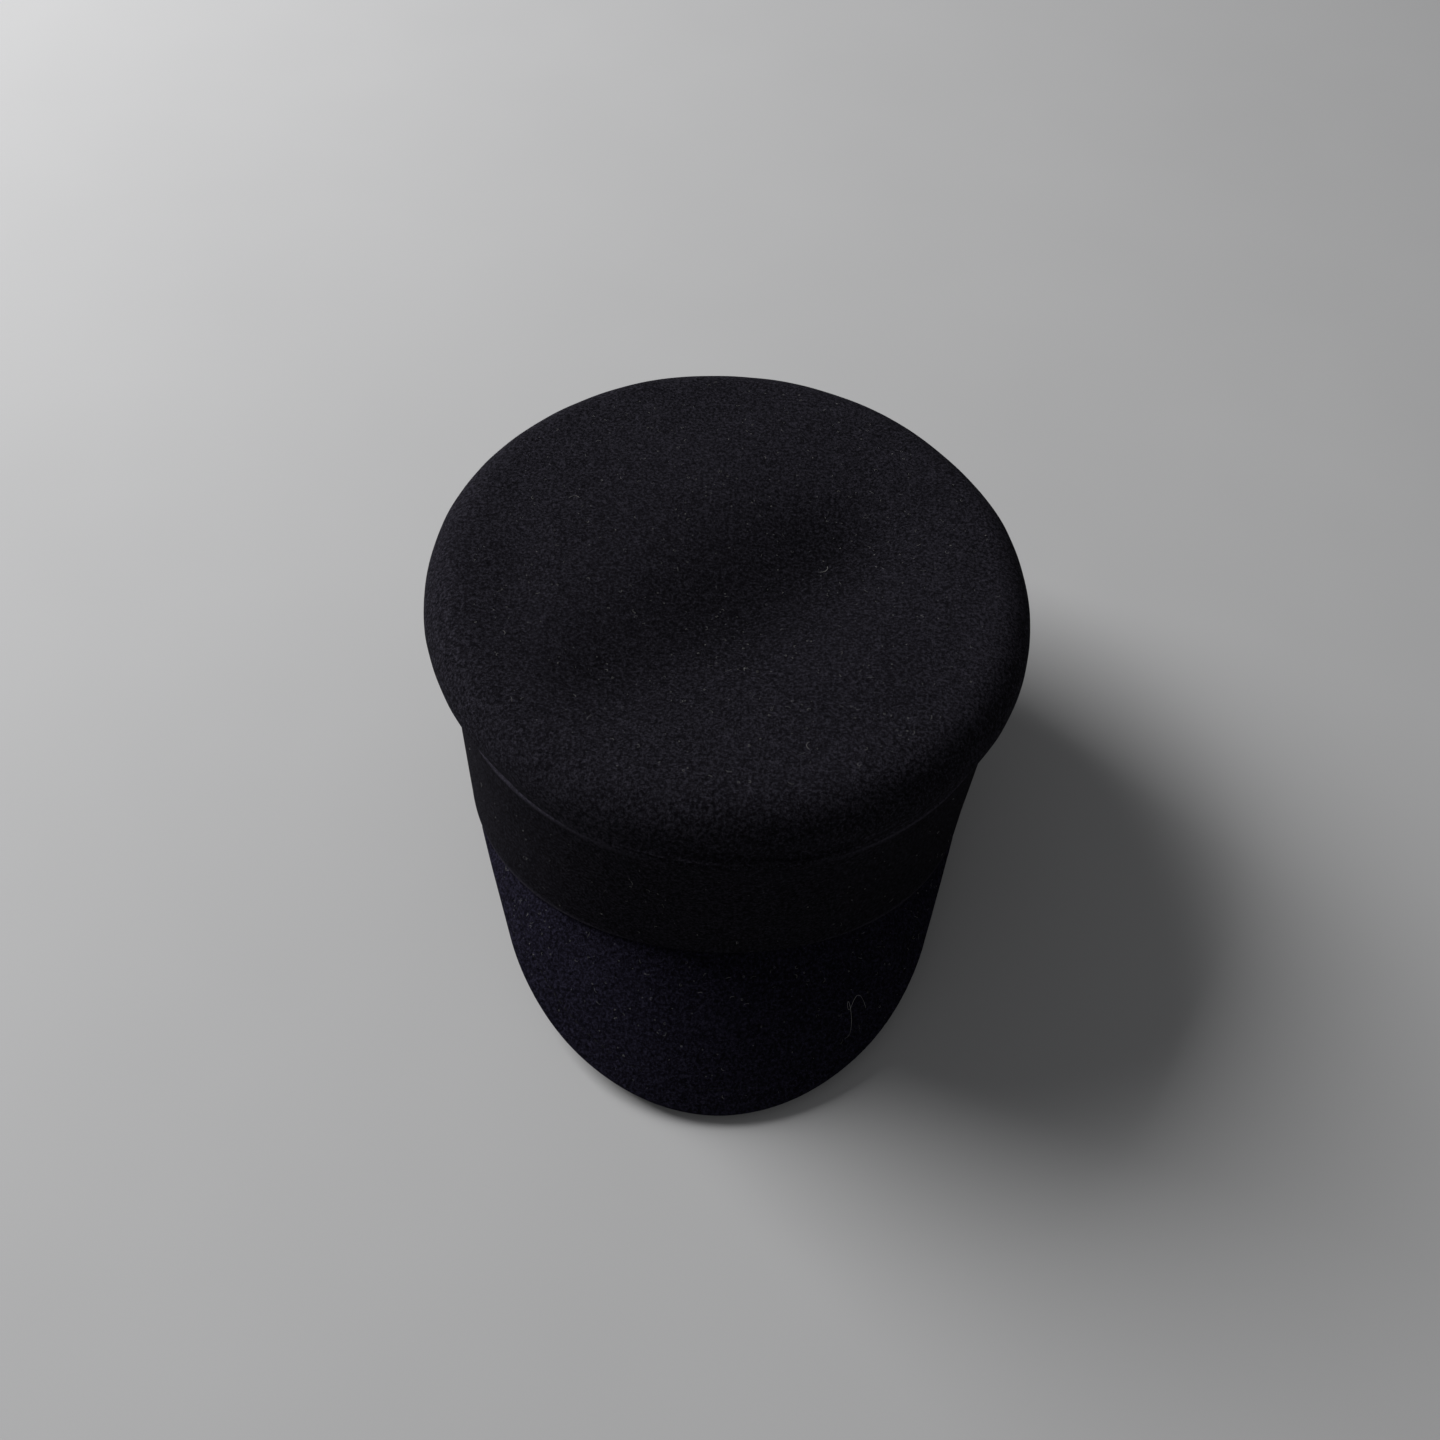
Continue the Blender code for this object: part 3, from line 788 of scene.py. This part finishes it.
def visor_relief(side, out):
    """The top felt's own relief: the hem's groove and fuller edge, and a faint middle fold."""
    inside = (1.0 - out) * visor_length(side)
    reaching = smooth(0.0, 0.02, visor_length(side) - 0.012)
    groove = -0.00030 * hump(inside, VISOR_HEM, 0.0008) * reaching
    hem = 0.00018 * (1.0 - smooth(VISOR_HEM - 0.001, VISOR_HEM, inside))
    x = visor_face(side, out)[..., 0]
    fold = 0.00030 * hump(x, -0.0012, 0.0016) * (1.0 - smooth(0.25, 0.7, out))
    return groove + hem + fold


def build_visor_top():
    """The visor's upper felt, with the flange that goes up behind the band."""
    side = np.linspace(-1.0, 1.0, 121)
    rows = []
    for out in np.linspace(1.0, 0.0, 57)[:-1]:
        share = out + 0.0 * side
        lift = visor_relief(side, share)[:, None]
        rows.append(visor_face(side, share) + visor_normal(side, share) * lift)
    for height in np.linspace(0.0, VISOR_FLANGE, 7):
        rows.append(wall(side * VISOR_TIP_ANGLE, height, NECK_INSET))
    grid = np.array(rows)
    free = smooth(0.0, 18.0, len(grid) - 8.0 - np.arange(len(grid)))[:, None, None]
    handling = (0.00022 * waves(grid, 0.024, 5.5))[..., None]
    grid = grid + visor_normal(side, 0.5 + 0.0 * side)[None] * handling * free
    felt_shell(
        "visor_upper_felt", to_row(grid), VISOR_TOP_THICKNESS, VISOR_FELT,
        rounding=0.0008, slot="visor_felt", replaces=("visor_top_felt",),
    )


def build_visor_under():
    """The lower felt, drawn up to the top felt where the two are sewn along the free edge."""
    side = np.linspace(-1.0, 1.0, 121)
    length = visor_length(side)
    pressed = 0.0008 * smooth(0.66, 0.80, np.abs(side))
    sewn = 0.0042
    steps = [(near, 0.0) for near in np.linspace(0.0004, sewn, 11)]
    steps += [(sewn, share) for share in np.linspace(0.0, 1.0, 31)[1:]]
    rows = []
    for near, share in steps:
        inside = blend(near * np.minimum(1.0, length * 0.4 / sewn), 0.98 * length, share)
        apart = smooth(0.0003, 0.0032, inside)
        depth = blend(VISOR_TOP_THICKNESS + 0.00005, UNDER_DEPTH, apart) - pressed
        out = 1.0 - inside / length
        rows.append(visor_face(side, out) - visor_normal(side, out) * depth[:, None])
    felt_shell(
        "visor_lower_felt", to_row(rows), VISOR_UNDER_THICKNESS, VISOR_FELT,
        slot="visor_felt", replaces=("visor_under_felt",),
    )


def build_visor_stitches():
    """The hem's stitches, sunk in their groove."""
    side = np.linspace(-0.74, 0.74, 241)
    out = 1.0 - VISOR_HEM / visor_length(side)
    normal = visor_normal(side, out)
    line = visor_face(side, out) + normal * (visor_relief(side, out)[:, None] - 0.00012)
    paths = running_stitches(line, normal, 0.0023, 0.0006)
    sewing("visor_hem_stitches", paths, replaces=("visor_hem_thread",))


# ---- inside

def give_ribbon_length(piece, along, across):
    """Stores how far each point of a shell lies along and across its ribbon, for the weave."""
    place = points(along, across, 0.0)
    ends = np.repeat(place[-1:], RIM_STEPS, 0), np.repeat(place[:1], RIM_STEPS, 0)
    values = np.concatenate([place, ends[0], place[::-1], ends[1]])
    store = piece.data.attributes.new("ribbon", "FLOAT_VECTOR", "POINT")
    store.data.foreach_set("vector", values.astype(np.float32).ravel())


def build_sweatband():
    """The grosgrain ribbon that touches the head."""
    angle = np.linspace(-BUTT_REACH, BUTT_REACH, 257)
    heights = np.concatenate([[SWEATBAND_BOTTOM], np.linspace(BAND_HEM, SWEATBAND_TOP, 14)])
    grid = np.array([wall(angle, height, SWEATBAND_INSET) for height in heights])
    loose = smooth(0.010, SWEATBAND_TOP, heights)[:, None]
    inward = 0.00035 * (waves(grid, 0.030, 2.2) - 0.6) * loose
    grid = grid + outward(angle)[None] * inward[..., None]
    band = felt_shell(
        "sweatband_ribbon", to_row(grid), SWEATBAND_THICKNESS, GROSGRAIN,
        rounding=0.00025, slot="grosgrain", replaces=("sweatband",),
    )
    length = girth(SWEATBAND_INSET)
    give_ribbon_length(band, angle[None] / (2 * pi) * length, heights[:, None])


def build_sweatband_tab():
    """The short ribbon that covers the sweatband's joint."""
    half = radians(3.3)
    angle = np.linspace(BACK - half, BACK + half, 15)
    heights = np.linspace(BAND_HEM, SWEATBAND_TOP + 0.0006, 16)
    grid = np.array([wall(angle, height, TAB_INSET) for height in heights])
    ends = 0.00025 * (1.0 - np.sin(np.linspace(0.0, pi, len(heights))))[:, None, None]
    grid = grid + outward(angle)[None] * ends
    tab = felt_shell(
        "sweatband_joint_tab", to_row(grid), TAB_THICKNESS, GROSGRAIN,
        rounding=0.0002, slot="grosgrain", replaces=("sweatband_tab",),
    )
    give_ribbon_length(tab, heights[:, None], angle[None])


def build_sweatband_stitches():
    """The row of stitches that holds the sweatband's lower edge."""
    inset = SWEATBAND_INSET + SWEATBAND_THICKNESS
    reach = pi - radians(4.0)
    angle = np.linspace(-reach, reach, 721)
    line = wall(angle, SWEATBAND_SEAM, inset)
    paths = running_stitches(line, -outward(angle), 0.0026, 0.0007)
    sewing("sweatband_stitches", paths, replaces=("sweatband_thread",))


def build_lining_side():
    """Satin round the inside, gathered into small pleats where it meets the tip."""
    angle = np.linspace(-pi, pi, 481)[:-1]
    shares = np.linspace(0.0, 1.0, 26)
    rows = []
    order = np.random.default_rng(7)
    pleats = np.cumsum(order.uniform(0.09, 0.19, 44)) - pi
    pleats = pleats[pleats < pi - 0.05]
    depths = order.uniform(0.5, 1.0, len(pleats))
    for share in shares:
        height = blend(LINING_BOTTOM, LINING_TOP - rim_height(angle), share)
        row = wall(angle, height, LINING_INSET)
        spread = 0.014 + 0.010 * (1 - share)
        drawn = sum(depth * hump(angle, at, spread) for at, depth in zip(pleats, depths))
        drawn = drawn * 0.0011 * share**1.6 * (1.0 - 0.6 * smooth(0.92, 1.0, share))
        slack = 0.0006 * (0.5 + 0.5 * waves(row, 0.022, 9.0)) * np.sin(share * pi)
        rows.append(row - outward(angle) * (drawn + slack)[:, None])
    grid = np.array(rows)
    lining = felt_shell(
        "satin_side_lining", to_row(grid), LINING_THICKNESS, SATIN,
        closed=True, rounding=0.0001, slot="satin", replaces=("lining_side",),
    )


def tip_plan(angle, share):
    """Plan of the lining's tip: 1 at its seam, 0 at its middle."""
    inset = LINING_INSET + LINING_THICKNESS + GAP
    seam = wall(angle, LINING_TOP - rim_height(angle), inset)
    return blend(0.0, seam[..., 0], share), blend(CREASE_CENTRE_Y, seam[..., 1], share)


def draped(grid, pinned, frames):
    """Gives a satin dome's points after it has sagged under its own weight between pinned ones."""
    rows, columns = grid.shape[:2]
    last = (rows - 2) * columns
    faces = grid_faces(rows - 1, columns, closed=True)
    faces += [(last + c, last + (c + 1) % columns, last + columns) for c in range(columns)]
    mesh = bpy.data.meshes.new("satin_drape")
    mesh.from_pydata(np.vstack([grid[:-1].reshape(-1, 3), grid[-1, :1]]).tolist(), [], faces)
    piece = add_object("satin_drape", mesh)
    group = piece.vertex_groups.new(name="sewn")
    group.add([int(i) for i in np.flatnonzero(pinned)], 1.0, "REPLACE")
    cloth = piece.modifiers.new("drape", "CLOTH")
    settings = cloth.settings
    settings.quality = 6
    settings.mass = 0.12
    settings.tension_stiffness = 18.0
    settings.compression_stiffness = 18.0
    settings.shear_stiffness = 6.0
    settings.bending_stiffness = 0.02
    settings.air_damping = 4.0
    settings.vertex_group_mass = group.name
    cloth.collision_settings.use_collision = False
    cloth.point_cache.frame_start = 1
    cloth.point_cache.frame_end = frames
    scene = bpy.context.scene
    for step in range(1, frames + 1):
        scene.frame_set(step)
    hung = piece.evaluated_get(bpy.context.evaluated_depsgraph_get()).data
    places = np.empty(len(hung.vertices) * 3)
    hung.vertices.foreach_get("co", places)
    scene.frame_set(1)
    bpy.data.objects.remove(piece)
    bpy.data.meshes.remove(mesh)
    places = places.reshape(-1, 3)
    centre = np.repeat(places[-1:], columns, 0)
    return np.concatenate([places[:-1], centre]).reshape(rows, columns, 3)


def build_lining_tip():
    """The lining's satin tip, cut a little full, sewn at its rim and tacked up under its label."""
    angle = np.linspace(-pi, pi, 145)[:-1]
    shares = np.linspace(1.0, 0.0, 34)
    rows = []
    for share in shares:
        x, y = tip_plan(angle, share)
        off_label = np.maximum(
            np.abs(x) / (LABEL_WIDTH / 2), np.abs(y - CREASE_CENTRE_Y) / (LABEL_LENGTH / 2)
        )
        dome = LINING_DOME * (1.0 - share**2) / (1.0 - TIP_LEVEL_SHARE**2)
        row = points(x, y, LINING_TOP + np.minimum(dome, LINING_DOME))
        full = smooth(1.18, 1.6, off_label) * math.sin(share * pi) ** 0.7
        folds = 0.0010 * np.sin(angle * 23.0 + 2.0 * share)
        row[:, 2] += full * (0.0016 * waves(row, 0.012, 4.0) + folds)
        rows.append(row)
    grid = np.array(rows)
    x, y = grid[..., 0], grid[..., 1] - CREASE_CENTRE_Y
    tacked = np.abs(x) < LABEL_WIDTH / 2 + LABEL_TACK
    tacked &= np.abs(y) < LABEL_LENGTH / 2 + LABEL_TACK
    tacked[0] = True
    pinned = np.append(tacked[:-1].ravel(), True)
    hung = draped(to_row(grid), pinned, DRAPE_FRAMES)
    tip = felt_shell(
        "satin_tip_lining", hung, LINING_THICKNESS, SATIN,
        closed=True, dome=True, rounding=0.0001, slot="satin", replaces=("lining_tip",),
    )


def flat_label(name, half_width, half_length, place, material, thickness, **kind):
    """A woven label from its own coordinates: place turns (across, along) into points."""
    across = np.linspace(-half_width, half_width, 27)
    along = np.linspace(-half_length, half_length, 19)
    across, along = np.meshgrid(across, along)
    piece = felt_shell(name, place(across, along), thickness, material, rounding=0.0001, **kind)
    give_ribbon_length(piece, across, along)
    return piece


def build_lining_label():
    """The blank label sewn under the tip, with a row of stitches round it."""
    top = LINING_TOP + LINING_DOME - LINING_THICKNESS - LABEL_DROP

    def place(across, along):
        rounding = 0.0003 * (np.abs(across) / (LABEL_WIDTH / 2)) ** 6
        return to_row(points(-across, along + CREASE_CENTRE_Y, top + rounding))

    label = flat_label(
        "blank_lining_label", LABEL_WIDTH / 2, LABEL_LENGTH / 2, place, LABEL_TAPE, 0.0004,
        slot="label", replaces=("lining_label",),
    )
    inset = 0.0016
    half = np.array([LABEL_WIDTH / 2 - inset, LABEL_LENGTH / 2 - inset])
    corners = np.array([(-1, -1), (1, -1), (1, 1), (-1, 1), (-1, -1)]) * half
    down = np.array([0.0, 0.0, -1.0])
    paths = []
    for start, end in zip(corners, corners[1:]):
        share = np.linspace(0.0, 1.0, 60)[:, None]
        flat = blend(start, end, share)
        line = points(flat[:, 0], flat[:, 1] + CREASE_CENTRE_Y, top)
        paths += running_stitches(line, np.repeat(down[None], len(line), 0), 0.0020, 0.0005)
    paths = [to_row(path) for path in paths]
    tubes("lining_label_stitches", paths, 0.00018, GREY_THREAD, slot="thread")


def build_care_label():
    """The blank care label: a short root from the lining's seam, and the flap that swings on it."""
    joint = next(j for j in frame["joints"] if j["name"] == "care_label_flip")
    hinge = np.array(joint["pos_m"])
    across_way = -np.array(joint["axis"]) / np.linalg.norm(joint["axis"])
    up_way = np.array(HEAD.to_3x3() @ Vector((0.0, 0.0, 1.0)))
    out_way = np.cross(up_way, across_way)
    length, half = 0.0340, 0.0110

    def from_hinge(across, up, out):
        """Points at distances across, up and out from the hinge's middle."""
        steps = across[..., None] * across_way, up[..., None] * up_way, out[..., None] * out_way
        return hinge + steps[0] + steps[1] + steps[2]

    def place(across, along):
        down = along + length / 2
        curl = 0.0012 * np.sin(down / length * pi) - 0.0009 * smooth(0.6, 1.0, down / length)
        cup = 0.0004 * (across / half) ** 2
        return from_hinge(across, -down, cup - curl)

    flap = flat_label(
        "care_label_flap_tape", half, length / 2, place, LABEL_TAPE, 0.0003,
        body="care_label_flap", slot="label", replaces=("care_label",),
    )

    angle = radians(-125.0)
    seam = to_row(wall(np.float64(angle), LINING_TOP - 0.0006, LINING_INSET + 0.0006))
    rise = float((seam - hinge) @ up_way)
    reach = float((seam - hinge) @ out_way)

    def root_place(across, along):
        share = (along + 0.003) / 0.006
        cup = 0.0004 * (across / half) ** 2 * (1.0 - share)
        bulge = 0.0005 * np.sin(share * pi)
        return from_hinge(across, share * rise + bulge, share * reach + cup)

    flat_label("care_label_root", half, 0.003, root_place, LABEL_TAPE, 0.0003, slot="label")


# ---- lint

def surface_spots(count, seed):
    """Places on the cap's outside with their outward directions, in the head frame."""
    order = np.random.default_rng(seed)
    spots = []
    while len(spots) < count:
        kind = order.uniform()
        if kind < 0.58:
            angle, share = order.uniform(-pi, pi), math.sqrt(order.uniform(0.0, 1.0))
            spot = np.array([*lip_plan(angle, LIP_ROLL, share), LIP_HEIGHT + LIP_ROLL])
            spot[2] -= float(top_dents(spot[None])[0])
            spots.append((spot, np.array([0.0, 0.0, 1.0])))
        elif kind < 0.80:
            angle = order.uniform(-pi, pi)
            rise = float(crease_height(angle) - rim_height(angle))
            spot = wall(np.float64(angle), order.uniform(0.004, rise - 0.006), 0.0)
            spots.append((spot, outward(np.array([angle]))[0]))
        else:
            side = np.array([order.uniform(-0.85, 0.85)])
            out = np.array([order.uniform(0.08, 0.95)])
            spots.append((visor_face(side, out)[0], visor_normal(side, out)[0]))
    return spots


def fibre_path(spot, up, length, order, steps=6):
    """A short curly fibre that lies on the felt with its ends a little free."""
    level = np.cross(up, [0.3, 0.5, 0.81])
    level /= np.linalg.norm(level)
    other = np.cross(up, level)
    heading = order.uniform(0.0, 2 * pi)
    bend = order.uniform(-1.0, 1.0) * 5.0 / max(length, 0.001) * 0.001
    path, at = [], spot + up * 0.00012
    for i in range(steps):
        path.append(at + up * 0.00022 * abs(math.sin(i * 1.3 + heading)))
        heading += bend
        at = at + (level * math.cos(heading) + other * math.sin(heading)) * length / (steps - 1)
    return path


def build_lint():
    """Fine pale fibres scattered over the felt, and a few longer curly ones."""
    order = np.random.default_rng(21)
    fine = [
        to_row(np.array(fibre_path(spot, up, order.uniform(0.0008, 0.0022), order)))
        for spot, up in surface_spots(900, 5)
    ]
    tubes("lint_fine_fibres", fine, 0.000035, LINT, sides=4)

    share = np.linspace(0.0, 1.0, 48)
    side = 0.355 + 0.063 * share + 0.0134 * np.sin(share * 8.0)
    out = 0.80 - 0.22 * np.sin(share * 2.6) + 0.05 * np.sin(share * 13.0)
    normal = visor_normal(side, out)
    hair = visor_face(side, out) + normal * (0.00025 + 0.0002 * np.sin(share * 9.0)[:, None])
    long_paths = [to_row(hair)]
    above = LIP_HEIGHT + LIP_ROLL + 0.00018
    for x, y, turn, size in (
        (0.0225, -0.0753, 2.0, 0.0016),
        (0.030, 0.006, 4.4, 0.0022),
        (-0.052, 0.028, 0.6, 0.0020),
    ):
        sweep = np.linspace(0.0, 2.2, 12) + turn
        arc = points(x + size * np.cos(sweep), y + size * np.sin(sweep), above)
        arc[:, 2] -= top_dents(arc)
        long_paths.append(to_row(arc))
    tubes("lint_curly_fibres", long_paths, 0.00006, LINT, sides=5)


# ---- studio

def build_floor():
    """A plain pale floor."""
    mesh = bpy.data.meshes.new("floor")
    half = 3.0
    corners = [(-half, -half, 0), (half, -half, 0), (half, half, 0), (-half, half, 0)]
    mesh.from_pydata(corners, [], [(0, 1, 2, 3)])
    floor = add_object("floor", mesh)
    paper = Nodes("pale_floor", (0.45, 0.45, 0.453), 0.85, Specular_IOR_Level=0.2)
    grain = paper.noise(8.0, 2.0)
    mesh.materials.append(paper.finish(paper.ramp(grain, (0.44, 0.44, 0.443), (0.47, 0.47, 0.473))))
    floor.location.z = -0.0003


def add_light(name, place, aim, size, power):
    """A soft square lamp that faces a point."""
    lamp = bpy.data.lights.new(name, "AREA")
    lamp.energy = power
    lamp.size = size
    light = add_object(name, lamp)
    light.location = place
    light.rotation_euler = (Vector(aim) - Vector(place)).to_track_quat("-Z", "Y").to_euler()


def build_lights():
    """A broad, low, window-like light from the left and behind, and a pale dim surrounding."""
    middle = (0.0, 0.0, 0.05)
    add_light("key", (-1.45, 0.90, 1.25), middle, 1.1, 60.0)
    add_light("fill", (-0.3, -1.7, 1.7), middle, 1.8, 1.0)
    world = bpy.data.worlds.new("studio")
    bpy.context.scene.world = world
    world.use_nodes = True
    background = world.node_tree.nodes["Background"].inputs
    background["Color"].default_value = (0.90, 0.91, 0.93, 1.0)
    background["Strength"].default_value = 0.15
    bpy.context.scene.view_settings.view_transform = "Standard"


def build_camera():
    """The camera above the cap's front, turned and rolled a few degrees."""
    right = Vector((1.0, 0.0, 0.0))
    up = Vector((0.0, math.sin(CAMERA_ELEVATION), math.cos(CAMERA_ELEVATION)))
    ahead = Vector((0.0, math.cos(CAMERA_ELEVATION), -math.sin(CAMERA_ELEVATION)))
    place = -CAMERA_RISE * up - CAMERA_DISTANCE * ahead
    rolled_right = math.cos(CAMERA_ROLL) * right + math.sin(CAMERA_ROLL) * up
    rolled_up = -math.sin(CAMERA_ROLL) * right + math.cos(CAMERA_ROLL) * up
    axes = Matrix((rolled_right, rolled_up, -ahead)).transposed().to_4x4()
    swing = Matrix.Rotation(-CAMERA_SWING, 4, "Z")
    data = bpy.data.cameras.new("camera")
    data.lens = CAMERA_LENS
    data.sensor_width = CAMERA_SENSOR
    camera = add_object("camera", data)
    pivot = HEAD @ Matrix.Translation(CAMERA_PIVOT)
    camera.matrix_world = pivot @ swing @ Matrix.Translation(place) @ axes
    bpy.context.scene.camera = camera


def dress_hidden_nodes():
    """Better materials for the frame's own pieces inside the visor."""
    for node, material in (("visor_board", board_material()), ("visor_edge_wire", wire_material())):
        mesh = frame["nodes"][node].data
        mesh.materials.clear()
        mesh.materials.append(material)


build_camera()
build_floor()
build_lights()
build_crown()
build_band()
build_band_seam()
build_visor_top()
build_visor_under()
build_visor_stitches()
build_sweatband()
build_sweatband_tab()
build_sweatband_stitches()
build_lining_side()
build_lining_tip()
build_lining_label()
build_care_label()
build_lint()
dress_hidden_nodes()
